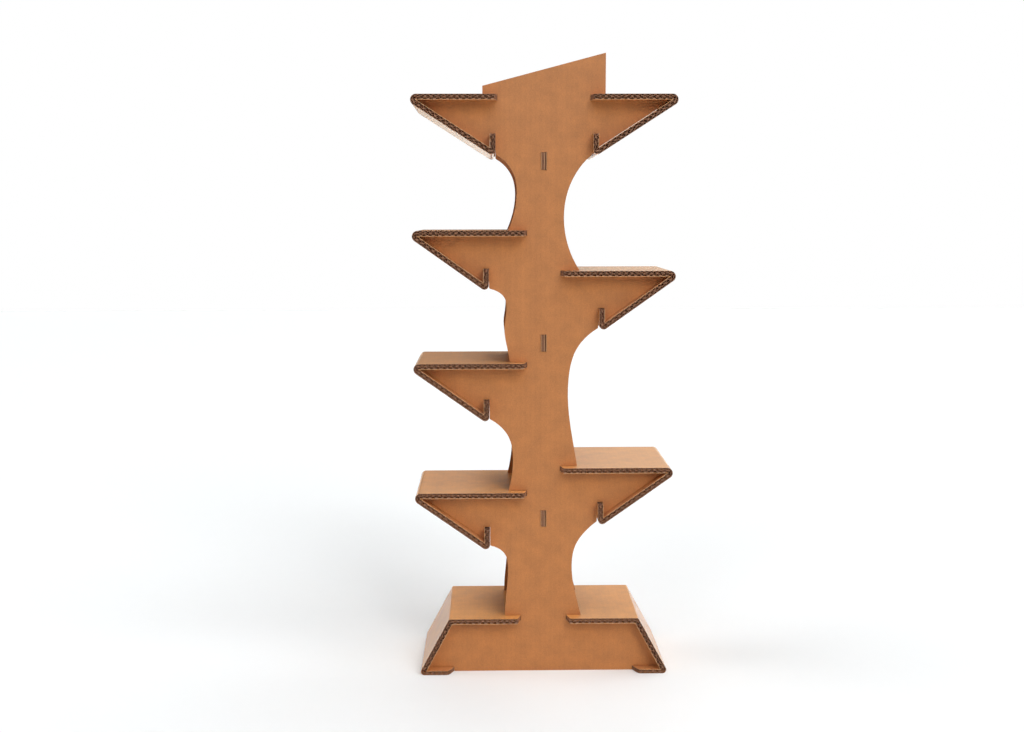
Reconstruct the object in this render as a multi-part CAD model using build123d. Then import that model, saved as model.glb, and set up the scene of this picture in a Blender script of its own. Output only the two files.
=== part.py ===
from build123d import *
import math
import os

os.makedirs("parts", exist_ok=True)

# Sheet and overall sizes, millimetres
board = 7.0
depth = 140.0
overhang = 14.0
seat = 0.3

# Trays
tray_reach = 165.0
tray_drop = 72.0
tray_inner_end = 21.5
tray_lip_face = 69.5
tray_lip_length = 24.0
tray_lip_radius = 5.5
top_tray_inner_end = 58.0
top_tray_lip_face = 60.5
lead_in = 4.0

# Heights of the top faces above the floor
base_height = 75.0
left_pitch = 167.0
right_low_level = 274.0
right_middle_level = 525.5

# Foot and base strips
base_inner_end = 30.0
base_top_half = 123.0
base_floor_half = 163.5
base_lip_end = 117.5
base_lip_thickness = 5.5
base_lip_lead_in = 6.5
base_top_radius = 3.0
base_floor_radius = 5.0

# Head of the uprights, heights above the top trays
head_half = 76.5
head_low_rise = 11.0
head_high_rise = 51.0

# Mouths of the lip notches
mouth_drop = 73.0
mouth_radius = 2.0

# Spine and its tabs
tab_height = 21.0
tab_stand_out = 1.0
tab_low = 205.0
tab_pitch = 228.5
tab_count = 3
spine_margin = 24.0
spine_corner = 8.0

# Trunk outline: half width and drop below the upper level, then half width at the lower level
trunk_left_1 = [(48.6, 81.5), (39.2, 94.5), (34.0, 121.0)]
trunk_left_1_root = 45.0
trunk_left_2 = [(58.5, 76.7), (50.2, 84.0), (47.2, 95.0), (50.0, 123.0), (46.0, 151.0)]
trunk_left_2_root = 43.0
trunk_left_3 = [(56.6, 81.7), (46.9, 93.0), (39.7, 117.0)]
trunk_left_3_root = 45.0
trunk_left_4 = [(59.1, 76.2), (50.7, 83.4), (46.3, 104.0), (48.4, 138.0)]
trunk_left_4_root = 50.0
trunk_right_1 = [(46.3, 87.2), (30.5, 116.8), (25.2, 153.0)]
trunk_right_1_root = 45.5
trunk_right_2 = [(58.3, 80.5), (41.2, 101.0), (32.2, 134.0), (31.2, 167.0), (35.2, 204.3)]
trunk_right_2_root = 43.2
trunk_right_3 = [(53.5, 87.3), (42.4, 103.3), (36.8, 135.4)]
trunk_right_3_root = 49.0

# Values that follow from the ones above
half_depth = depth / 2
upright_face = half_depth - overhang
left_levels = [base_height + left_pitch * n for n in (4, 3, 2, 1)]
top_level = left_levels[0]
head_low = top_level + head_low_rise
head_high = top_level + head_high_rise
right_levels = [top_level, right_middle_level, right_low_level]
tab_levels = [tab_low + tab_pitch * n for n in range(tab_count)]


def offset_path(points, gaps):
    """Bent line beside another one: each stretch moved to its right by its own gap."""
    lines = []
    for (x0, z0), (x1, z1), gap in zip(points, points[1:], gaps):
        run = x1 - x0
        rise = z1 - z0
        length = math.hypot(run, rise)
        start = (x0 + gap * rise / length, z0 - gap * run / length)
        lines.append((start, (run, rise)))
    moved = [lines[0][0]]
    for (p, d), (q, e) in zip(lines, lines[1:]):
        cross = d[0] * e[1] - d[1] * e[0]
        along = ((q[0] - p[0]) * e[1] - (q[1] - p[1]) * e[0]) / cross
        moved.append((p[0] + along * d[0], p[1] + along * d[1]))
    p, d = lines[-1]
    moved.append((p[0] + d[0], p[1] + d[1]))
    return moved


def polygon(points):
    """Flat face with straight sides."""
    return make_face(Polyline(*points, close=True))


def block(x0, x1, z0, z1):
    """Flat rectangle between two widths and two heights."""
    return polygon([(x0, z0), (x1, z0), (x1, z1), (x0, z1)])


def round_corner(face, point, radius):
    """Face with the corner nearest to the point rounded."""
    corner = min(face.vertices(), key=lambda v: (v.center() - Vector(*point)).length)
    return fillet(corner, radius)


def stand_up(face, near, thickness):
    """Flat face set upright and given a thickness from its near side to the back."""
    return Pos(0, near + thickness, 0) * Rot(90, 0, 0) * extrude(face, amount=thickness)


def tray_inner_path(inner_end, lip_face):
    """Inner side of a left tray strip, from the inner end to the lip, heights from the top face."""
    return [
        (-inner_end, -board),
        (board - tray_reach, -board),
        (-lip_face - board, board - tray_drop),
        (-lip_face - board, tray_lip_length - tray_drop),
    ]


def lead_in_cut(inner_end, reach, low, high):
    """Slant taken off both inner corners of a panel where it stands out of the uprights."""
    wedge = polygon([(-inner_end, upright_face), (-inner_end + 1, upright_face),
                     (-inner_end + 1, half_depth + 1), (-inner_end - reach, half_depth + 1),
                     (-inner_end - reach, half_depth)])
    near = Pos(0, 0, low) * extrude(wedge, amount=high - low)
    return near + mirror(near, about=Plane.XZ)


def left_tray(level, inner_end, lip_face):
    """One folded strip: top panel, nose, sloping panel and lip."""
    inner = tray_inner_path(inner_end, lip_face)
    outer = offset_path(inner, [board] * 3)
    profile = polygon(outer + inner[::-1])
    profile = round_corner(profile, outer[1], board)
    profile = round_corner(profile, outer[2], tray_lip_radius)
    strip = stand_up(profile, -half_depth, depth)
    strip -= lead_in_cut(inner_end, lead_in, -board - 1, 1)
    return Pos(0, 0, level) * strip


def base_paths():
    """Outer and inner side of the left base strip, from the inner end to the lip."""
    outer = [
        (-base_inner_end, base_height),
        (-base_top_half, base_height),
        (-base_floor_half, 0),
        (-base_lip_end, 0),
    ]
    return outer, offset_path(outer, [-board, -board, -base_lip_thickness])


def left_base():
    """One folded strip: top panel, side panel and lip flat on the floor."""
    outer, inner = base_paths()
    profile = polygon(outer + inner[::-1])
    profile = round_corner(profile, outer[1], base_top_radius)
    profile = round_corner(profile, outer[2], base_floor_radius)
    strip = stand_up(profile, -half_depth, depth)
    strip -= lead_in_cut(base_inner_end, lead_in, base_height - board - 1, base_height + 1)
    return strip - lead_in_cut(base_lip_end, base_lip_lead_in, -1, base_lip_thickness + 1)


def arm(level, inner_end, lip_face):
    """Left arm that fills a tray, with its part of the trunk beside the lip."""
    inner = tray_inner_path(inner_end, lip_face)
    fit = offset_path(inner, [0, -seat, -seat])
    points = [(0, -board), fit[1], fit[2], (-lip_face + seat, -mouth_drop), (0, -mouth_drop)]
    return Pos(0, level) * polygon(points)


def notch(level, lip_face):
    """Opening for the lip of a left tray, open at the bottom."""
    low = level - tray_drop - board
    high = level - tray_drop + tray_lip_length + seat
    return block(-lip_face - board - seat, -lip_face + seat, low, high)


def slot(level, inner_end):
    """Opening for the inner end of a left top panel, open to the outside."""
    return block(-tray_reach - board, -inner_end + seat, level - board, level + seat)


def trunk_stretch(upper, lip_face, table, lower, root):
    """Curved side of the trunk from a notch mouth down to the next panel."""
    mouth = (-lip_face + seat, upper - mouth_drop)
    middle = [(-half, upper - drop) for half, drop in table]
    end = (-root, lower)
    return Spline(mouth, *middle, end)


def half_outline(levels, faces, tables, roots, head):
    """Left half of the trunk, one curved stretch between each pair of levels."""
    lowers = levels[1:] + [base_height]
    top = (-head_half, top_level)
    edges = [Polyline((0, 0), (0, head), (-head_half, head), top)]
    start = top
    for upper, face, table, lower, root in zip(levels, faces, tables, lowers, roots):
        stretch = trunk_stretch(upper, face, table, lower, root)
        edges.append(Line(start, stretch @ 0))
        edges.append(stretch)
        start = stretch @ 1
    edges.append(Polyline(start, (-roots[-1], 0), (0, 0)))
    return make_face(edges)


def upright_half(levels, tables, roots, head):
    """Left half of an upright with its arms, slots and notches."""
    count = len(levels)
    faces = [top_tray_lip_face] + [tray_lip_face] * (count - 1)
    ends = [top_tray_inner_end] + [tray_inner_end] * (count - 1)
    shape = half_outline(levels, faces, tables, roots, head)
    outer, inner = base_paths()
    fit = offset_path(inner, [0, -seat, -seat])
    shape += polygon([(0, base_height - board), fit[1], fit[2], (0, fit[2][1])])
    shape += block(-base_lip_end + seat, 0, 0, base_height - board)
    for level, end, face in zip(levels, ends, faces):
        shape += arm(level, end, face)
    for level, end, face in zip(levels, ends, faces):
        shape -= slot(level, end)
        shape -= notch(level, face)
    shape -= slot(base_height, base_inner_end)
    for level, face in zip(levels, faces):
        shape = round_corner(shape, (-face + seat, level - mouth_drop), mouth_radius)
    return shape


left_tables = [trunk_left_1, trunk_left_2, trunk_left_3, trunk_left_4]
left_roots = [trunk_left_1_root, trunk_left_2_root, trunk_left_3_root, trunk_left_4_root]
right_tables = [trunk_right_1, trunk_right_2, trunk_right_3]
right_roots = [trunk_right_1_root, trunk_right_2_root, trunk_right_3_root]

# One outline serves both uprights
left_half = upright_half(left_levels, left_tables, left_roots, head_high)
right_half = upright_half(right_levels, right_tables, right_roots, head_high)
outline = left_half + mirror(right_half, about=Plane.YZ)
outline -= polygon([(-head_half - 1, head_high + 1), (-head_half - 1, head_low),
                    (-head_half, head_low), (head_half, head_high), (head_half, head_high + 1)])
for tab_level in tab_levels:
    half_slot = tab_height / 2 + seat
    outline -= block(-board / 2 - seat, board / 2 + seat, tab_level - half_slot, tab_level + half_slot)

front_upright = stand_up(outline, -upright_face, board)
rear_upright = stand_up(outline, upright_face - board, board)

# Spine between the uprights, drawn with depth across and height up
spine_reach = upright_face - board
spine_low = tab_levels[0] - tab_height / 2 - spine_margin
spine_high = tab_levels[-1] + tab_height / 2 + spine_margin
spine_face = block(-spine_reach, spine_reach, spine_low, spine_high)
spine_face = fillet(spine_face.vertices(), spine_corner)
tab_reach = upright_face + tab_stand_out
for tab_level in tab_levels:
    spine_face += block(-tab_reach, tab_reach, tab_level - tab_height / 2, tab_level + tab_height / 2)
spine = Rot(0, 0, 90) * stand_up(spine_face, -board / 2, board)

nodes = {
    "front_upright": front_upright,
    "rear_upright": rear_upright,
    "spine": spine,
}
for number, level in enumerate(left_levels, 1):
    end = top_tray_inner_end if number == 1 else tray_inner_end
    face = top_tray_lip_face if number == 1 else tray_lip_face
    nodes[f"tray_left_{number}"] = left_tray(level, end, face)
for number, level in enumerate(right_levels, 1):
    end = top_tray_inner_end if number == 1 else tray_inner_end
    face = top_tray_lip_face if number == 1 else tray_lip_face
    nodes[f"tray_right_{number}"] = mirror(left_tray(level, end, face), about=Plane.YZ)
nodes["base_left"] = left_base()
nodes["base_right"] = mirror(left_base(), about=Plane.YZ)

for name, shape in nodes.items():
    export_step(shape, f"parts/{name}.step")
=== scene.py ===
"""Cardboard display stand: folded trays and bases on two trunk-shaped uprights, in double-wall board."""

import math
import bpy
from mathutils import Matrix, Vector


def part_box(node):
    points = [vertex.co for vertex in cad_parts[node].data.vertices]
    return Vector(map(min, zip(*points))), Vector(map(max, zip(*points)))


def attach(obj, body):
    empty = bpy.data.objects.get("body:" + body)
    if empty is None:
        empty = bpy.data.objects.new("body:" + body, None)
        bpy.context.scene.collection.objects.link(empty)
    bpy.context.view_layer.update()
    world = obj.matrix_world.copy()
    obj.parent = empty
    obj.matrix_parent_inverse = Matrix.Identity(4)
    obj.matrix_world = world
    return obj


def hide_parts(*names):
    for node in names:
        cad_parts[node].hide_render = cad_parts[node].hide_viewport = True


bl_info = {
    "name": "Cardboard display stand",
    "version": (1, 0, 0),
    "blender": (4, 5, 0),
    "location": "3D View > Sidebar > Stand",
    "description": "Double-wall board sheets for a display stand, and the stage they stand on",
    "category": "Object",
}

import bmesh
import bpy
import numpy as np
from bpy.props import FloatProperty, FloatVectorProperty, PointerProperty
from mathutils import Matrix

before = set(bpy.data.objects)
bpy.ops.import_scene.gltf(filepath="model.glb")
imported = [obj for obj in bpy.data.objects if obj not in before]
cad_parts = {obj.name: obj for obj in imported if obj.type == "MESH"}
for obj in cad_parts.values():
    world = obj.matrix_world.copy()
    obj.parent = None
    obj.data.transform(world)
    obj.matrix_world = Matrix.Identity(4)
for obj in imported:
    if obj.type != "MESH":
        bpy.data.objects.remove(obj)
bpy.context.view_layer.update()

MM = 0.001
# Trays on each side
TRAYS = {"left": 4, "right": 3}

# Seeds of the random draws. The trays take one each, counting up
FIRST_TRAY_SEED = 1
BASE_SEEDS = {"left": 11, "right": 12}
UPRIGHT_SEED = 21
SPINE_SEED = 31

# Slots of a sheet's materials: plain face, fluted paper, cut edge, and outer face of a folded strip
FACE, MEDIUM, CUT, OUTER = range(4)
UV_MAP = "board"
# Each seed moves the papers' pattern by this much along and across the sheet, in metres
PATTERN_SHIFT = np.array([0.31, 0.17])

# Fineness: points along one wave, steps round a fold, and the way between points of a plain liner
POINTS_PER_WAVE = 16
FOLD_STEPS = 24
LINER_STEP = 4 * MM
# Places of the rows of points from front to back, as shares of the half width. A fluted paper that
# bows has more of them, closer together at the cut edges
EDGE_ROWS = np.array([-1.0, 1.0])
FLUTE_ROWS = np.array([-1, -0.94, -0.78, -0.45, 0, 0.45, 0.78, 0.94, 1])

# Steepness of the waves' flanks: 1 is nearly a sine, 5 has flat crests
FLANK = 5.0
# How far the waves bow sideways in the middle of a folded strip, in whole waves
BOW = 1.5
# Spread of the random draws for each wave, and how much of them its height and its lean take
SPREAD = 0.1
HEIGHT_SHARE = 0.15
LEAN_SHARE = 0.1
# Left between a crest and its liner
GLUE_GAP = 0.02 * MM

# How far the slants at a strip's two ends reach in from its sides
CORNER_REACH = 14 * MM
# Flat papers start out longer than the board, and the outermost two thicker by a share of it, so
# that no two faces of a cut lie in one plane
SPARE_LENGTH = 10 * MM
SPARE_SHARE = 0.2

# Points closer than this are one point, and a sheet may differ from its CAD box by the tolerance
WELD = 0.001 * MM
BOX_TOLERANCE = 0.4 * MM
# Faces that meet at more than this show an edge
SHARP_ANGLE = math.radians(28)

# Lamps: turn to the right of the front, height above the floor and width in degrees, and strength
LAMPS = {
    "key": (20, 46, 14, 0.38),
    "front_right": (30, 30, 28, 0.98),
    "high_right": (60, 50, 28, 0.65),
    "front_left": (-30, 40, 28, 0.515),
    "high_left": (-90, 60, 28, 0.79),
    "back_right": (120, 60, 28, 0.54),
    "high_back": (180, 65, 28, 0.50),
    "top": (62, 58, 28, 0.24),
}
# Cloths that show in a sheen only: both ends of turn and height, brightness and colour
CLOTHS = {
    "front_high_cloth": (-90, 90, 50, 85, 10.0, "#FFFEF4"),
    "right_foot_cloth": (100, 179, 1, 4, 2.7, "#FFFEF4"),
    "right_low_cloth": (100, 179, 4, 14, 0.52, "#FFFEF4"),
    "right_middle_cloth": (100, 179, 14, 20, 1.18, "#FFFEF4"),
    "right_high_cloth": (100, 179, 30, 45, 6.0, "#FFF1DB"),
    "left_foot_cloth": (181, 260, 1, 4, 2.2, "#FFFEF4"),
    "left_middle_cloth": (181, 260, 14, 20, 1.1, "#FFFEF4"),
}
# Ways from the middle of the floor in metres, and points along the sides of the two grids
CLOTH_RADIUS = 9.0
CLOTH_POINTS = (49, 25)
FLOOR_REACH = 6.0
FLOOR_POINTS = 13
LAMP_DISTANCE = 3.0
# Camera: width of the sensor in millimetres, and the nearest and furthest that it sees in metres
SENSOR_WIDTH = 36.0
NEAREST, FURTHEST = 0.05, 50.0


def linear(code):
    """An sRGB hex value as the linear colour that a shader takes."""
    parts = [int(code[i:i + 2], 16) / 255 for i in (1, 3, 5)]
    return [c / 12.92 if c <= 0.04045 else ((c + 0.055) / 1.055) ** 2.4 for c in parts] + [1.0]


def length_prop(name, millimetres, words):
    """A length in metres that a user may change."""
    return FloatProperty(name=name, description=words, default=millimetres * MM,
                         min=0.0, precision=5, unit="LENGTH")


def colour_prop(name, code, words):
    """A colour that a user may change."""
    return FloatVectorProperty(name=name, description=words, default=linear(code),
                               size=4, min=0.0, max=1.0, subtype="COLOR")


def angle_prop(name, degrees, words):
    """An angle that a user may change."""
    return FloatProperty(name=name, description=words, default=math.radians(degrees), subtype="ANGLE")


def share_prop(name, share, words):
    """A brightness that a user may change, as a share of full."""
    return FloatProperty(name=name, description=words, default=share, min=0.0)


class BoardSizes(bpy.types.PropertyGroup):
    """Section of the double-wall board."""
    thickness: length_prop("Thickness", 7.0, "Whole thickness of the board")
    liner: length_prop("Outer liners", 0.5, "Thickness of each, drawn thicker so that it shows")
    middle: length_prop("Middle liner", 0.3, "Thickness of the liner between the two flutes")
    wide_flute: length_prop("Wide flute", 3.5, "Height of the flute on the inner side")
    wide_pitch: length_prop("Wide flute pitch", 7.9, "From crest to crest of the wide flute")
    narrow_pitch: length_prop("Narrow flute pitch", 6.4, "From crest to crest of the narrow flute")
    medium: length_prop("Fluted paper", 0.42, "Thickness, drawn thicker than 0.25 mm so that it shows")


class TraySizes(bpy.types.PropertyGroup):
    """Folds of the tray strips."""
    drop: length_prop("Drop", 72.0, "From the top face down to the foot of the slope")
    lip: length_prop("Lip", 24.0, "Height of the upright lip, from the foot of the slope")
    lip_radius: length_prop("Lip fold radius", 5.5, "Outside radius of the fold between slope and lip")
    lip_face: length_prop("Lip face", 69.5, "From the middle line to the lip's outer face")
    top_lip_face: length_prop("Top lip face", 60.5, "The same for the two top trays")
    lead_in: length_prop("Lead-in", 4.0, "Slant on the inner corners, along the panel")


class BaseSizes(bpy.types.PropertyGroup):
    """Folds of the base strips."""
    height: length_prop("Height", 75.0, "Top face above the floor")
    inner_end: length_prop("Inner end", 30.0, "From the middle line to the top panel's end")
    top_half: length_prop("Top half width", 123.0, "From the middle line to the upper fold")
    floor_half: length_prop("Floor half width", 163.5, "From the middle line to the lower fold")
    lip_end: length_prop("Lip end", 117.5, "From the middle line to the end of the floor lip")
    lip_thickness: length_prop("Lip thickness", 5.5, "Crushed thickness of the floor lip")
    lip_lead_in: length_prop("Lip lead-in", 6.5, "Slant on the corners of the floor lip")
    upper_radius: length_prop("Upper fold radius", 3.0, "Outside radius of the upper fold")
    lower_radius: length_prop("Lower fold radius", 5.0, "Outside radius of the lower fold")


class StandColours(bpy.types.PropertyGroup):
    """Colours of the papers and the stage."""
    kraft: colour_prop("Kraft liner", "#B57239", "Inner side of the strips, and the uprights")
    # Painted light: the outer side of the strips is the same kraft, drawn paler and yellower for the
    # stronger light on the tray tops
    outer: colour_prop("Outer liner", "#CE8839", "Liner drawn paler as painted light on the outer side of the strips")
    # Cut edge: pale partly from torn fibre ends and partly as a painted highlight along the cut
    edge: colour_prop("Cut edge", "#D0A57D", "Torn fibre ends and painted highlight along the liners' cut edges")
    fluting: colour_prop("Fluted paper", "#8C6044", "Greyer paper of the flutes")
    floor: colour_prop("Floor", "#F1F4F6", "Studio floor")


class Stage(bpy.types.PropertyGroup):
    """Camera and light."""
    lens: FloatProperty(name="Lens", description="Focal length in millimetres",
                        default=41.49, min=1.0, unit="CAMERA")
    pitch: angle_prop("Pitch", 7.233, "Camera tilt below the horizon")
    yaw: angle_prop("Yaw", 0.936, "Camera turn to the right")
    roll: angle_prop("Roll", -0.121, "Camera roll")
    eye: FloatVectorProperty(name="Eye", description="Camera position", size=3, subtype="XYZ",
                             unit="LENGTH", default=(-0.0648, -1.5481, 0.5938))
    ambient: share_prop("Ambient", 0.02, "Brightness of the even light from all sides")
    backdrop: share_prop("Backdrop", 1.0, "Brightness of the white surround as seen")
    lamps: share_prop("Lamps", 1.0, "Strength of all lamps, as a share of their own")
    sheen: share_prop("Sheen", 1.0, "Brightness of all cloths that the sheen shows")


GROUPS = {
    "stand_board": BoardSizes,
    "stand_tray": TraySizes,
    "stand_base": BaseSizes,
    "stand_colours": StandColours,
    "stand_stage": Stage,
}


# Shapes of folded and flat sheets

def normals_of(path):
    """Unit vectors to the right of each stretch of a bent line."""
    ways = np.diff(path, axis=0)
    ways /= np.linalg.norm(ways, axis=1)[:, None]
    return np.stack([ways[:, 1], -ways[:, 0]], -1)


def beside(path, gaps):
    """A bent line moved sideways: each stretch goes to its right by its own gap, and the corners are
    where neighbouring stretches then cross."""
    path, gaps = np.asarray(path, float), np.asarray(gaps, float)
    normals = normals_of(path)
    offsets = (path[:-1] * normals).sum(1) + gaps
    corners = [np.linalg.solve(normals[i:i + 2], offsets[i:i + 2]) for i in range(len(gaps) - 1)]
    return np.array([path[0] + gaps[0] * normals[0], *corners, path[-1] + gaps[-1] * normals[-1]])


def swing(start, end, radius):
    """Vectors across the board at a fold. They turn about the inner corner from one panel's thickness
    vector to the next, each as long as the way to the outer side: a straight line, then an arc of the
    given radius that touches both outer lines, then a straight line."""
    thin = np.array([np.linalg.norm(start), np.linalg.norm(end)])
    normals = np.stack([start, end]) / thin[:, None]
    first, last = np.arctan2(normals[:, 1], normals[:, 0])
    turn = (last - first + np.pi) % (2 * np.pi) - np.pi
    angles = first + turn * np.linspace(0, 1, FOLD_STEPS + 1)
    ways = np.stack([np.cos(angles), np.sin(angles)], -1)
    centre = np.linalg.solve(normals, thin - radius)
    along = ways @ centre
    arc = along + np.sqrt(np.maximum(radius ** 2 - (centre @ centre - along ** 2), 0))
    panels = np.stack([-normals[:, 1], normals[:, 0]], -1)
    touch = centre + radius * normals
    tips = ways * arc[:, None]
    # Short of the first touching point and beyond the second the outer line is straight. The tiny
    # number allows for rounding
    tiny = 1e-9
    reach = np.where((tips - touch[0]) @ panels[0] < -tiny, thin[0] / (ways @ normals[0]), arc)
    reach = np.where((tips - touch[1]) @ panels[1] > tiny, thin[1] / (ways @ normals[1]), reach)
    return ways * reach[:, None]


def folded(inner, outer, radii):
    """Stations along a folded strip: base points on its inner side, and vectors across the board."""
    inner, outer = np.asarray(inner, float), np.asarray(outer, float)
    normals = normals_of(inner)
    across = normals * ((outer[:-1] - inner[:-1]) * normals).sum(1)[:, None]
    base, through = [inner[:1]], [across[:1]]
    for i, radius in enumerate(radii):
        through.append(swing(across[i], across[i + 1], radius))
        base.append(np.repeat(inner[i + 1:i + 2], FOLD_STEPS + 1, axis=0))
    base.append(inner[-1:])
    through.append(across[-1:])
    return np.concatenate(base), np.concatenate(through)


def ways_along(stations, middle):
    """Way from the strip's start to each station, along the layer at a share of the thickness."""
    base, through = stations
    steps = np.linalg.norm(np.diff(base + middle * through, axis=0), axis=1)
    return np.append(0, np.cumsum(steps))


def lay(stations, middle, along, share):
    """Points of a layer: along is the way from the strip's start, measured at the share of the
    thickness named middle, and share is each point's own place between inner side 0 and outer side 1."""
    base, through = stations
    ways = ways_along(stations, middle)
    at = [np.interp(along, ways, base[:, k]) + share * np.interp(along, ways, through[:, k])
          for k in (0, 1)]
    return np.stack(at, -1)


def levels(board):
    """Shares of the thickness where each of the five papers starts and ends, from the inner side."""
    steps = [0, board.liner, board.wide_flute, board.middle]
    low = np.cumsum(steps) / board.thickness
    return [*low, 1 - board.liner / board.thickness, 1.0]


def flat_paper(stations, low, high):
    """A liner as two lines of points, its lower and its upper side, the same in front and behind."""
    middle = (low + high) / 2
    ways = ways_along(stations, middle)
    along = np.union1d(ways, np.arange(0, ways[-1], LINER_STEP))
    lines = [np.repeat(lay(stations, middle, along, share)[None], 2, axis=0) for share in (low, high)]
    return along, *lines


def fluted_paper(stations, board, low, high, pitch, chance, rows, bow):
    """A corrugated paper as two lines of points for each row from front to back. Its middle line is
    the tanh of a sine between the liners, for steep flanks and broad crests. Its phase wanders a
    little, and between the cut edges it bows sideways by whole waves, along a half circle over the
    width. The height and the lean of the waves wander too. The paper's sides lie half its thickness
    off along the line's normal."""
    middle = (low + high) / 2
    length = ways_along(stations, middle)[-1]
    waves = int(np.ceil(length / pitch))
    along = np.linspace(0, length, waves * POINTS_PER_WAVE + 1)
    draws = chance.normal(0, SPREAD, (3, waves + 1))
    wander, sink, lean = (np.interp(along, np.linspace(0, length, waves + 1), draw) for draw in draws)
    turn = 2 * np.pi * bow * np.sqrt(1 - rows ** 2)[:, None]
    phase = 2 * np.pi * along / pitch + wander + turn
    room = (high - low) * board.thickness / 2 - board.medium / 2 - GLUE_GAP
    wave = np.tanh(FLANK * np.sin(phase)) / np.tanh(FLANK)
    rise = room * (1 - HEIGHT_SHARE * np.clip(np.abs(sink), 0, 1)) * wave
    centre = np.stack([along + LEAN_SHARE * pitch * lean * rise / room, rise], -1)
    slope = np.gradient(centre, axis=1)
    slope /= np.linalg.norm(slope, axis=2)[..., None]
    side = np.stack([-slope[..., 1], slope[..., 0]], -1) * board.medium / 2
    points = []
    for line in (centre - side, centre + side):
        share = middle + line[..., 1] / board.thickness
        points.append(lay(stations, middle, line[..., 0], share))
    return along, *points


def ribbon(along, lower, upper, half_widths, rows, kinds):
    """A closed ribbon: pairs of lines in the x-z plane, one pair for each row, each row at its share
    of the half width along y. Gives points, four-sided faces, flat coordinates, and the kind of each
    face: the first of the three kinds on its lower side, the second on its upper side, the third
    where it is cut."""
    count = len(along)
    grid = np.empty((len(rows), 2, count, 3))
    grid[..., 0::2] = np.stack([lower, upper], 1)
    grid[..., 1] = rows[:, None, None] * half_widths
    ids = np.arange(len(rows) * 2 * count).reshape(len(rows), 2, count)
    near, far = slice(None, -1), slice(1, None)
    sides = [
        (ids[near, 0, near], ids[near, 0, far], ids[far, 0, far], ids[far, 0, near]),
        (ids[near, 1, near], ids[far, 1, near], ids[far, 1, far], ids[near, 1, far]),
        (ids[0, 0, near], ids[0, 1, near], ids[0, 1, far], ids[0, 0, far]),
        (ids[-1, 0, near], ids[-1, 0, far], ids[-1, 1, far], ids[-1, 1, near]),
        (ids[near, 0, 0], ids[far, 0, 0], ids[far, 1, 0], ids[near, 1, 0]),
        (ids[near, 0, -1], ids[near, 1, -1], ids[far, 1, -1], ids[far, 0, -1]),
    ]
    sides = [np.stack(side, -1).reshape(-1, 4) for side in sides]
    kind = np.repeat([kinds[0], kinds[1]] + [kinds[2]] * 4, [len(side) for side in sides])
    flat = np.stack(np.broadcast_arrays(along, grid[..., 1]), -1)
    return grid.reshape(-1, 3), np.concatenate(sides), flat.reshape(-1, 2), kind


def papers(stations, board, half_width, chance, rows, bow, outside):
    """The five papers of a sheet, from the inner side, each as points, faces, flat coordinates and
    kinds of face. Half width is a function of the way along the sheet, and outside is the kind of
    the sheet's outer side."""
    cuts = levels(board)
    pitches = {1: board.wide_pitch, 3: board.narrow_pitch}
    # Of a folded strip's liners only the inner one has its cut edge drawn pale
    liners = {0: (FACE, FACE, CUT), 2: (FACE, FACE, MEDIUM), 4: (FACE, outside, MEDIUM)}
    made = []
    for i, (low, high) in enumerate(zip(cuts, cuts[1:])):
        if i in liners:
            lines = flat_paper(stations, low, high)
            made.append(ribbon(*lines, half_width(lines[0]), rows[[0, -1]], liners[i]))
        else:
            lines = fluted_paper(stations, board, low, high, pitches[i], chance, rows, bow)
            made.append(ribbon(*lines, half_width(lines[0]), rows, (MEDIUM, MEDIUM, MEDIUM)))
    return made


# Meshes and objects

def placed(name, data):
    """A new object in the scene."""
    made = bpy.data.objects.new(name, data)
    bpy.context.scene.collection.objects.link(made)
    return made


def read(items, name):
    """A value of three numbers that each item has, as one array with a row for each."""
    values = np.empty(3 * len(items))
    items.foreach_get(name, values)
    return values.reshape(-1, 3)


def weld(source, mesh, distance):
    """Fills a mesh with the source's faces, with points closer than a distance joined."""
    joined = bmesh.new()
    joined.from_mesh(source)
    bmesh.ops.remove_doubles(joined, verts=joined.verts, dist=distance)
    joined.to_mesh(mesh)
    joined.free()
    return mesh


def grid_mesh(name, points):
    """A mesh of a grid of points, with a four-sided face in each cell."""
    ids = np.arange(points.size // 3).reshape(points.shape[:2])
    faces = np.stack([ids[:-1, :-1], ids[1:, :-1], ids[1:, 1:], ids[:-1, 1:]], -1).reshape(-1, 4)
    mesh = bpy.data.meshes.new(name)
    mesh.from_pydata(points.reshape(-1, 3), [], faces.tolist())
    return mesh


def outward(points, faces):
    """The faces, all turned round if they enclose a negative volume."""
    a, b, c, d = (points[faces[:, k]] for k in range(4))
    volume = (a * np.cross(b, c)).sum() + (a * np.cross(c, d)).sum()
    return faces if volume > 0 else faces[:, ::-1]


def set_flat(mesh, flat):
    """Writes each point's flat coordinates to the corners of the faces."""
    corners = np.empty(len(mesh.loops), np.int32)
    mesh.loops.foreach_get("vertex_index", corners)
    layer = mesh.uv_layers.get(UV_MAP) or mesh.uv_layers.new(name=UV_MAP)
    layer.data.foreach_set("uv", flat[corners].astype(np.float32).ravel())


def mesh_of(name, made):
    """One mesh of several papers, with their kinds as material numbers and the flat coordinates."""
    mesh = bpy.data.meshes.new(name)
    points, faces, flat, kinds = zip(*made)
    starts = np.cumsum([0] + [len(p) for p in points])
    turned = np.concatenate([outward(p, f) + start for p, f, start in zip(points, faces, starts)])
    mesh.from_pydata(np.concatenate(points), [], turned.tolist())
    mesh.polygons.foreach_set("material_index", np.concatenate(kinds))
    set_flat(mesh, np.concatenate(flat))
    return mesh


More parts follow.
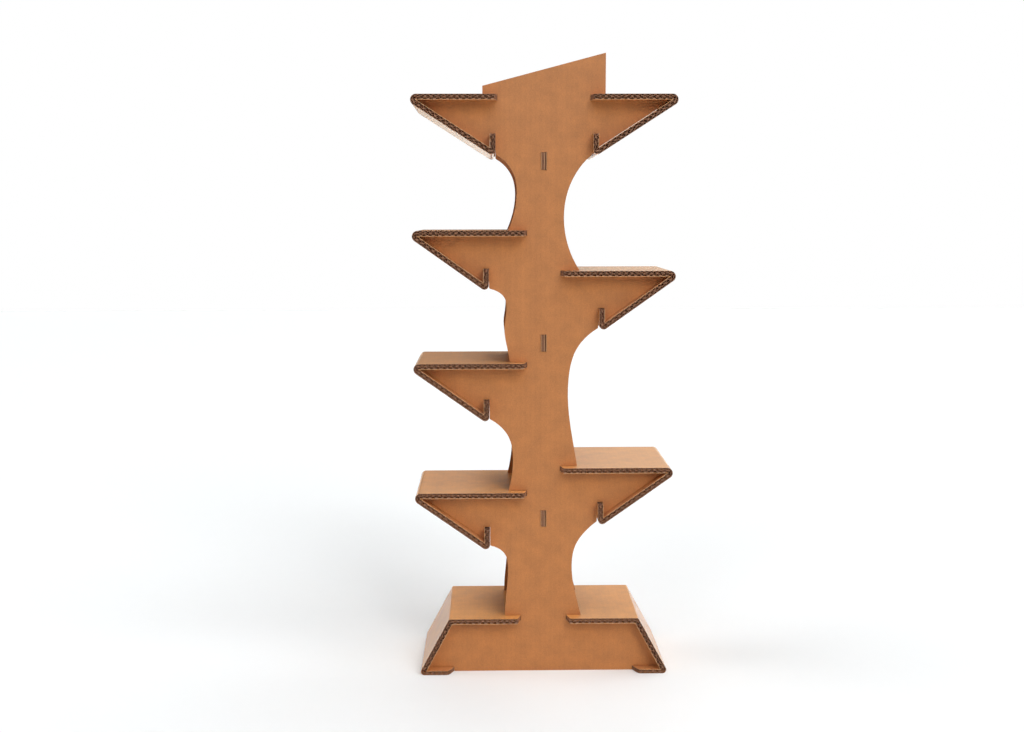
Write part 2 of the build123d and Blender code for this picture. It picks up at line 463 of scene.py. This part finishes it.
def finish_piece(mesh, node):
    """Makes the object of a sheet, in place of its CAD node."""
    mesh.validate()
    mesh.shade_smooth()
    mesh.set_sharp_from_angle(angle=SHARP_ANGLE)
    colours = bpy.context.scene.stand_colours
    in_slots = (
        made_once("kraft_liner_machine_finished", kraft_liner, colours.kraft, 0.0),
        made_once("fluting_paper_corrugated", fluting_paper),
        # The cut edge's pale colour is partly torn fibre ends and partly a painted highlight
        made_once("kraft_liner_sheared_edge_and_highlight", cut_liner),
        # The outer face takes the same kraft drawn paler and yellower: painted light for the stronger light
        # on the tray tops
        made_once("kraft_liner_calendered_painted_light", kraft_liner, colours.outer, 1.0),
    )
    for material in in_slots:
        mesh.materials.append(material)
    piece = placed(mesh.name, mesh)
    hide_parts(node)
    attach(piece, "root")
    own = read(mesh.vertices, "co")
    gap = np.abs(np.array([own.min(0), own.max(0)]) - np.array(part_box(node))).max()
    if gap > BOX_TOLERANCE:
        raise RuntimeError(f"{node} leaves its CAD box by {gap / MM:.2f} mm")


def strip(node, side, stations, depth, lead_ins, seed):
    """A folded strip. Its half width is half the depth, less the slants at its two ends, whose
    lengths along the strip are the lead-ins."""
    board, chance = bpy.context.scene.stand_board, np.random.default_rng(seed)

    def half_width(along):
        from_end = along[-1] - along
        cut = np.zeros_like(along)
        for way, length in ((along, lead_ins[0]), (from_end, lead_ins[1])):
            if length:
                cut = np.maximum(cut, CORNER_REACH * np.clip(1 - way / length, 0, 1))
        return depth / 2 - cut

    mirror = [-1, 1, 1] if side == "right" else [1, 1, 1]
    made = papers(stations, board, half_width, chance, FLUTE_ROWS, BOW, OUTER)
    turned = []
    for points, faces, flat, kinds in made:
        turned.append((points * mirror, faces, flat + seed * PATTERN_SHIFT, kinds))
    finish_piece(mesh_of(node + "_sheet", turned), node)


def cut_out(mesh, cutter):
    """What lies inside the cutter, as a mesh of its own."""
    paper = placed("paper", mesh)
    cut = paper.modifiers.new("cut", "BOOLEAN")
    cut.operation, cut.solver, cut.object = "INTERSECT", "EXACT", cutter
    graph = bpy.context.evaluated_depsgraph_get()
    done = bpy.data.meshes.new_from_object(paper.evaluated_get(graph))
    bpy.data.objects.remove(paper)
    return done


def flat_sheet(node, order, inner, outer, ends, seed):
    """A flat board cut to its CAD node's outline: each paper is a ribbon far wider than the board,
    and keeps what lies inside the node. Order says which of a ribbon's own three ways, along the
    waves, along the flutes and through the thickness, becomes x, y and z. Inner and outer are the
    places of the two faces, and ends those of the two ends of the waves."""
    board, chance = bpy.context.scene.stand_board, np.random.default_rng(seed)
    thick = outer - inner
    starts = [min(ends) - SPARE_LENGTH, max(ends) + SPARE_LENGTH]
    stations = np.array([[start, inner] for start in starts]), np.array([[0, thick]] * 2)
    made = papers(stations, board, np.ones_like, chance, EDGE_ROWS, 0.0, FACE)
    past = {0: (0.0, -SPARE_SHARE), len(made) - 1: (1.0, 1 + SPARE_SHARE)}
    cutter_mesh = weld(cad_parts[node].data, bpy.data.meshes.new(node + "_cutter"), WELD)
    cutter = placed("cutter", cutter_mesh)
    whole = bmesh.new()
    for i, (points, faces, flat, kinds) in enumerate(made):
        if i in past:
            limit, spread = past[i]
            edge = np.isclose(points[:, 2], inner + limit * thick)
            points[edge, 2] = inner + spread * thick
        done = cut_out(mesh_of("paper", [(points[:, order], faces, flat, kinds)]), cutter)
        if not done.polygons:
            raise RuntimeError(f"a paper of {node} came out empty")
        # A liner's faces that stand across the sheet are its cut edges
        through = np.abs(read(done.polygons, "normal")[:, order.index(2)])
        kind = np.where((through < 0.5) & (kinds[0] == FACE), CUT, kinds[0])
        done.polygons.foreach_set("material_index", kind)
        whole.from_mesh(done)
    bpy.data.objects.remove(cutter)
    mesh = bpy.data.meshes.new(node + "_sheet")
    whole.to_mesh(mesh)
    whole.free()
    across = [order.index(0), order.index(1)]
    set_flat(mesh, read(mesh.vertices, "co")[:, across] + seed * PATTERN_SHIFT)
    return mesh


# Materials

def add(tree, kind, inputs=None, **settings):
    """Adds a node. Settings are its own values, and inputs maps a socket to a value or to the socket
    that feeds it."""
    made = tree.nodes.new(kind)
    for key, value in settings.items():
        setattr(made, key, value)
    for key, value in (inputs or {}).items():
        if isinstance(value, bpy.types.NodeSocket):
            tree.links.new(value, made.inputs[key])
        else:
            made.inputs[key].default_value = value
    return made


def made_once(name, build, *values):
    """The material of that name. The first call makes it, and build adds its nodes."""
    if name not in bpy.data.materials:
        material = bpy.data.materials.new(name)
        material.use_nodes = True
        material.node_tree.nodes.clear()
        build(material.node_tree, *values)
    return bpy.data.materials[name]


def scaled(colour, share):
    """A colour made darker or paler by a share."""
    return [min(c * share, 1.0) for c in colour[:3]] + [1.0]


def shives(tree, flat, paper):
    """The paper's colour with dark specks about 0.9 mm across, in one of six cells 6 mm wide."""
    cells = add(tree, "ShaderNodeTexVoronoi", {"Vector": flat, "Scale": 160.0, "Randomness": 1.0},
                voronoi_dimensions="2D", feature="F1")
    near = add(tree, "ShaderNodeMapRange", {"Value": cells.outputs["Distance"], "From Min": 0.04,
               "From Max": 0.10, "To Min": 1.0, "To Max": 0.0}).outputs[0]
    chosen = add(tree, "ShaderNodeSeparateColor", {"Color": cells.outputs["Color"]}).outputs[0]
    few = add(tree, "ShaderNodeMath", {0: chosen, 1: 0.84}, operation="GREATER_THAN").outputs[0]
    specks = add(tree, "ShaderNodeMath", {0: near, 1: few}, operation="MULTIPLY").outputs[0]
    # A speck hides less than a quarter of the paper's own colour
    faint = add(tree, "ShaderNodeMath", {0: specks, 1: 0.22}, operation="MULTIPLY").outputs[0]
    # Sockets 0, 6 and 7 are the factor and the two colours
    return add(tree, "ShaderNodeMix", {0: faint, 6: paper, 7: linear("#5E4230")},
               data_type="RGBA").outputs[2]


def kraft_liner(tree, tone_colour, calendered):
    """Kraft liner, made on a paper machine and glued over flutes."""
    # Long unbleached fibres give fine streaks along the machine and soft clouds, with a few dark
    # shives. The flutes show through as faint bands. A calendered face is matt when looked at
    # squarely, and mirrors pale surroundings softly at a flat glance.
    flat = add(tree, "ShaderNodeUVMap", uv_map=UV_MAP).outputs["UV"]
    # Clouds 18 mm wide: scale is one over that width in metres
    clouds = add(tree, "ShaderNodeTexNoise", {"Vector": flat, "Scale": 55.0, "Detail": 3.0,
                 "Roughness": 0.55}, noise_dimensions="2D").outputs["Fac"]
    # Fibres are 2.5 by 0.03 mm, drawn 0.9 mm wide and 4 mm long because finer ones would not show
    stretched = add(tree, "ShaderNodeMapping", {"Vector": flat, "Scale": (1100.0, 250.0, 1.0)}).outputs[0]
    fibres = add(tree, "ShaderNodeTexNoise", {"Vector": stretched, "Scale": 1.0, "Detail": 2.0,
                 "Roughness": 0.6}, noise_dimensions="2D").outputs["Fac"]
    # Grain of the sheet, 1.6 mm
    grain = add(tree, "ShaderNodeTexNoise", {"Vector": flat, "Scale": 620.0, "Detail": 2.0,
                "Roughness": 0.6}, noise_dimensions="2D").outputs["Fac"]
    # Bands over the 6.4 mm flutes: a wave texture repeats every 0.314 / scale metres
    bands = add(tree, "ShaderNodeTexWave", {"Vector": flat, "Scale": 0.314 / 0.0064, "Distortion": 0.0},
                wave_type="BANDS", bands_direction="X", wave_profile="SIN").outputs["Fac"]
    # The tone is one half, moved by each pattern's share
    tone = 0.0
    for source, share in ((clouds, 0.55), (fibres, 0.30), (grain, 0.45), (bands, 0.04)):
        centred = add(tree, "ShaderNodeMath", {0: source, 1: -0.5}, operation="ADD").outputs[0]
        tone = add(tree, "ShaderNodeMath", {0: centred, 1: share, 2: tone},
                   operation="MULTIPLY_ADD").outputs[0]
    middle = add(tree, "ShaderNodeMath", {0: tone, 1: 0.5}, operation="ADD").outputs[0]
    ramp = add(tree, "ShaderNodeValToRGB", {"Fac": middle})
    stops = ramp.color_ramp.elements
    stops[0].color, stops[1].color = scaled(tone_colour, 0.66), scaled(tone_colour, 1.34)
    face = shives(tree, flat, ramp.outputs[0])
    rough = add(tree, "ShaderNodeMapRange", {"Value": middle, "From Min": 0.2, "From Max": 0.8,
                "To Min": 0.58, "To Max": 0.66}).outputs[0]
    height = add(tree, "ShaderNodeMath", {0: grain, 1: 0.5, 2: fibres}, operation="MULTIPLY_ADD").outputs[0]
    bump = add(tree, "ShaderNodeBump", {"Height": height, "Strength": 0.25 - 0.18 * calendered,
               "Distance": 0.05 * MM})
    ribs = add(tree, "ShaderNodeBump", {"Height": bands, "Strength": 0.5 - 0.3 * calendered,
               "Distance": 0.04 * MM, "Normal": bump.outputs[0]})
    shader = add(tree, "ShaderNodeBsdfPrincipled", {
        "Base Color": face,
        "Roughness": rough,
        "IOR": 1.5,
        "Coat Weight": calendered,
        "Coat Roughness": 0.2,
        "Coat IOR": 1.18,
        "Normal": ribs.outputs[0],
    })
    add(tree, "ShaderNodeOutputMaterial", {"Surface": shader.outputs[0]})


def cut_liner(tree):
    """Edge of kraft liner, sheared by a steel rule."""
    # The cut opens the sheet: pale torn fibre ends, quite matt, with short darker bits. Its pale colour is
    # partly these fibre ends and partly a painted highlight along the cut.
    colours = bpy.context.scene.stand_colours
    place = add(tree, "ShaderNodeTexCoord").outputs["Object"]
    # Fibre bundles 1.5 mm long
    bundles = add(tree, "ShaderNodeTexNoise", {"Vector": place, "Scale": 650.0,
                  "Detail": 2.0}).outputs["Fac"]
    ramp = add(tree, "ShaderNodeValToRGB", {"Fac": bundles})
    stops = ramp.color_ramp.elements
    stops[0].position, stops[1].position = 0.2, 0.65
    stops[0].color, stops[1].color = colours.outer, colours.edge
    bump = add(tree, "ShaderNodeBump", {"Height": bundles, "Strength": 0.4, "Distance": 0.05 * MM})
    shader = add(tree, "ShaderNodeBsdfPrincipled", {"Base Color": ramp.outputs[0], "Roughness": 0.8,
                 "IOR": 1.5, "Normal": bump.outputs[0]})
    add(tree, "ShaderNodeOutputMaterial", {"Surface": shader.outputs[0]})


def fluting_paper(tree):
    """Semichemical fluting paper, pressed into waves between hot rolls."""
    # Short hardwood and recycled fibres give a greyer, mottled and quite matt brown.
    colour = bpy.context.scene.stand_colours.fluting
    flat = add(tree, "ShaderNodeUVMap", uv_map=UV_MAP).outputs["UV"]
    # Mottle 3 mm wide
    mottle = add(tree, "ShaderNodeTexNoise", {"Vector": flat, "Scale": 330.0, "Detail": 3.0},
                 noise_dimensions="2D").outputs["Fac"]
    ramp = add(tree, "ShaderNodeValToRGB", {"Fac": mottle})
    stops = ramp.color_ramp.elements
    stops[0].position, stops[1].position = 0.3, 0.7
    stops[0].color, stops[1].color = scaled(colour, 0.86), scaled(colour, 1.14)
    bump = add(tree, "ShaderNodeBump", {"Height": mottle, "Strength": 0.3, "Distance": 0.05 * MM})
    shader = add(tree, "ShaderNodeBsdfPrincipled", {"Base Color": ramp.outputs[0], "Roughness": 0.8,
                 "IOR": 1.5, "Normal": bump.outputs[0]})
    add(tree, "ShaderNodeOutputMaterial", {"Surface": shader.outputs[0]})


def floor_paper(tree):
    """Seamless background paper, matt coated."""
    # Bleached paper with a matt coating is almost white and hides its grain, with no clear reflection.
    colour = bpy.context.scene.stand_colours.floor
    place = add(tree, "ShaderNodeTexCoord").outputs["Object"]
    # Formation of the paper, 25 mm wide
    cloud = add(tree, "ShaderNodeTexNoise", {"Vector": place, "Scale": 40.0, "Detail": 2.0}).outputs["Fac"]
    ramp = add(tree, "ShaderNodeValToRGB", {"Fac": cloud})
    stops = ramp.color_ramp.elements
    stops[0].color, stops[1].color = scaled(colour, 0.99), colour
    shader = add(tree, "ShaderNodeBsdfPrincipled", {"Base Color": ramp.outputs[0], "Roughness": 0.9,
                 "IOR": 1.45})
    add(tree, "ShaderNodeOutputMaterial", {"Surface": shader.outputs[0]})


def lit_cloth(tree, colour, strength):
    """Cloth lit from behind, as round a light tent."""
    # Evenly lit cloth has no shape of its own to the eye, only its brightness and its tint.
    glow = add(tree, "ShaderNodeEmission", {"Color": linear(colour), "Strength": strength})
    add(tree, "ShaderNodeOutputMaterial", {"Surface": glow.outputs[0]})


# Stage

def way_to(turn, lift):
    """Unit vectors away from the middle of the floor, for turns to the right of the front and heights
    in radians. Their parts are the sine of the turn and minus its cosine, both times the cosine of
    the height, and the sine of the height."""
    return np.stack([np.sin(turn) * np.cos(lift), -np.cos(turn) * np.cos(lift), np.sin(lift)], -1)


def looking(eye, way, roll):
    """Placing of a camera or lamp at a point, looking along a way, rolled about it."""
    right = np.cross(way, [0, 0, 1])
    right /= np.linalg.norm(right)
    up = np.cross(right, way)
    turned = math.cos(roll) * right + math.sin(roll) * up
    raised = -math.sin(roll) * right + math.cos(roll) * up
    placing = np.eye(4)
    placing[:3, :3] = np.stack([turned, raised, -way], -1)
    placing[:3, 3] = eye
    return Matrix(placing.tolist())


def lay_floor():
    """A flat square of paper: z is zero over a square grid of x and y."""
    across = np.linspace(-FLOOR_REACH, FLOOR_REACH, FLOOR_POINTS)
    x, y = np.meshgrid(across, across, indexing="ij")
    mesh = grid_mesh("floor", np.stack([x, y, np.zeros_like(x)], -1))
    mesh.materials.append(made_once("background_paper_matt_white", floor_paper))
    floor = placed("floor", mesh)


def even_light(strength):
    """A world that is equally bright on all sides."""
    world = bpy.data.worlds.new("even_light")
    world.use_nodes = True
    background = world.node_tree.nodes["Background"].inputs
    background["Color"].default_value = (1, 1, 1, 1)
    background["Strength"].default_value = strength
    return world


def cloth(name, turns, lifts, colour, strength, seen):
    """A lit cloth on a sphere: the radius times the unit vectors between two turns and two heights in
    degrees. Only the camera sees it, or only the sheen."""
    turns, lifts = (np.radians(np.linspace(*ends, count))
                    for ends, count in zip((turns, lifts), CLOTH_POINTS))
    turn, lift = np.meshgrid(turns, lifts, indexing="ij")
    mesh = grid_mesh(name, CLOTH_RADIUS * way_to(turn, lift))
    weld(mesh, mesh, MM)
    mesh.materials.append(made_once("tent_cloth_backlit_" + name, lit_cloth, colour, strength))
    made = placed(name, mesh)
    made.visible_camera, made.visible_glossy = seen, not seen
    made.visible_diffuse = made.visible_transmission = made.visible_shadow = False


def lamp(name, turn, lift, width, strength):
    """A wide far lamp that shines on the middle of the floor. The angles are in degrees."""
    light = bpy.data.lights.new(name, "SUN")
    light.energy, light.angle = strength, math.radians(width)
    way = way_to(math.radians(turn), math.radians(lift))
    placed(name, light).matrix_world = looking(LAMP_DISTANCE * way, -way, 0.0)


def camera(values):
    """The camera at the photo's place."""
    made = placed("camera", bpy.data.cameras.new("camera"))
    made.data.lens = values.lens
    made.data.sensor_width, made.data.sensor_fit = SENSOR_WIDTH, "HORIZONTAL"
    made.data.clip_start, made.data.clip_end = NEAREST, FURTHEST
    level = math.cos(values.pitch)
    way = [math.sin(values.yaw) * level, math.cos(values.yaw) * level, -math.sin(values.pitch)]
    made.matrix_world = looking(np.array(values.eye), np.array(way), values.roll)
    return made


# Operators

class STAND_OT_trays(bpy.types.Operator):
    """Folds the seven tray strips"""
    bl_idname = "stand.trays"
    bl_label = "Trays"

    def execute(self, context):
        sizes, thick = context.scene.stand_tray, context.scene.stand_board.thickness
        seed = FIRST_TRAY_SEED
        for side, count in TRAYS.items():
            for number in range(1, count + 1):
                name = f"tray_{side}_{number}"
                low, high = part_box(name)
                inner_end = min(abs(low.x), abs(high.x))
                reach = max(abs(low.x), abs(high.x))
                lip = (sizes.top_lip_face if number == 1 else sizes.lip_face) + thick
                top, foot = high.z - thick, high.z - sizes.drop + thick
                inner = [(-inner_end, top), (thick - reach, top),
                         (-lip, foot), (-lip, foot - thick + sizes.lip)]
                stations = folded(inner, beside(inner, [thick] * 3), [thick, sizes.lip_radius])
                strip(name, side, stations, high.y - low.y, (sizes.lead_in, 0), seed)
                seed += 1
        return {"FINISHED"}


class STAND_OT_bases(bpy.types.Operator):
    """Folds the two base strips"""
    bl_idname = "stand.bases"
    bl_label = "Bases"

    def execute(self, context):
        sizes, thick = context.scene.stand_base, context.scene.stand_board.thickness
        lead_ins = (context.scene.stand_tray.lead_in, sizes.lip_lead_in)
        outer = [(-sizes.inner_end, sizes.height), (-sizes.top_half, sizes.height),
                 (-sizes.floor_half, 0), (-sizes.lip_end, 0)]
        inner = beside(outer, [-thick, -thick, -sizes.lip_thickness])
        stations = folded(inner, outer, [sizes.upper_radius, sizes.lower_radius])
        for side, seed in BASE_SEEDS.items():
            low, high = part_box(f"base_{side}")
            strip(f"base_{side}", side, stations, high.y - low.y, lead_ins, seed)
        return {"FINISHED"}


class STAND_OT_uprights(bpy.types.Operator):
    """Cuts the two uprights out of flat board"""
    bl_idname = "stand.uprights"
    bl_label = "Uprights"

    def execute(self, context):
        low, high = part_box("front_upright")
        mesh = flat_sheet("front_upright", [0, 2, 1], high.y, low.y, (low.x, high.x), UPRIGHT_SEED)
        back = mesh.copy()
        back.name = "rear_upright_sheet"
        finish_piece(mesh, "front_upright")
        back.transform(Matrix.Diagonal((1, -1, 1, 1)))
        back.flip_normals()
        finish_piece(back, "rear_upright")
        return {"FINISHED"}


class STAND_OT_spine(bpy.types.Operator):
    """Cuts the spine between the uprights"""
    bl_idname = "stand.spine"
    bl_label = "Spine"

    def execute(self, context):
        low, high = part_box("spine")
        mesh = flat_sheet("spine", [2, 0, 1], low.x, high.x, (low.y, high.y), SPINE_SEED)
        finish_piece(mesh, "spine")
        return {"FINISHED"}


class STAND_OT_stage(bpy.types.Operator):
    """Lays the floor and sets the light and the camera"""
    bl_idname = "stand.stage"
    bl_label = "Stage"

    def execute(self, context):
        scene, values = context.scene, context.scene.stand_stage
        lay_floor()
        scene.world = even_light(values.ambient)
        cloth("surround", (0, 360), (-90, 90), "#FFFFFF", values.backdrop, True)
        for name, (start, end, low, high, strength, colour) in CLOTHS.items():
            cloth(name, (start, end), (low, high), colour, strength * values.sheen, False)
        for name, (turn, lift, width, strength) in LAMPS.items():
            lamp(name, turn, lift, width, strength * values.lamps)
        scene.camera = camera(values)
        scene.view_settings.view_transform = "Standard"
        scene.view_settings.look = "None"
        return {"FINISHED"}


OPERATORS = (STAND_OT_trays, STAND_OT_bases, STAND_OT_uprights, STAND_OT_spine, STAND_OT_stage)


class STAND_PT_panel(bpy.types.Panel):
    """Lists the steps that make the stand"""
    bl_label = "Display stand"
    bl_idname = "STAND_PT_panel"
    bl_space_type = "VIEW_3D"
    bl_region_type = "UI"
    bl_category = "Stand"

    def draw(self, context):
        for operator in OPERATORS:
            self.layout.operator(operator.bl_idname)
        for group in GROUPS:
            box = self.layout.box()
            values = getattr(context.scene, group)
            for key in values.bl_rna.properties.keys():
                if key not in ("rna_type", "name"):
                    box.prop(values, key)


def register():
    """Adds the sizes to the scene, and the operators and the panel to Blender."""
    for group in GROUPS.values():
        bpy.utils.register_class(group)
    for name, group in GROUPS.items():
        setattr(bpy.types.Scene, name, PointerProperty(type=group))
    for cls in (*OPERATORS, STAND_PT_panel):
        bpy.utils.register_class(cls)


def unregister():
    """Takes all of it out again."""
    for cls in reversed((*OPERATORS, STAND_PT_panel)):
        bpy.utils.unregister_class(cls)
    for name in GROUPS:
        delattr(bpy.types.Scene, name)
    for group in reversed(GROUPS.values()):
        bpy.utils.unregister_class(group)


def main():
    """Makes every piece in order."""
    register()
    bpy.ops.stand.trays()
    bpy.ops.stand.bases()
    bpy.ops.stand.uprights()
    bpy.ops.stand.spine()
    bpy.ops.stand.stage()


if __name__ == "__main__":
    main()
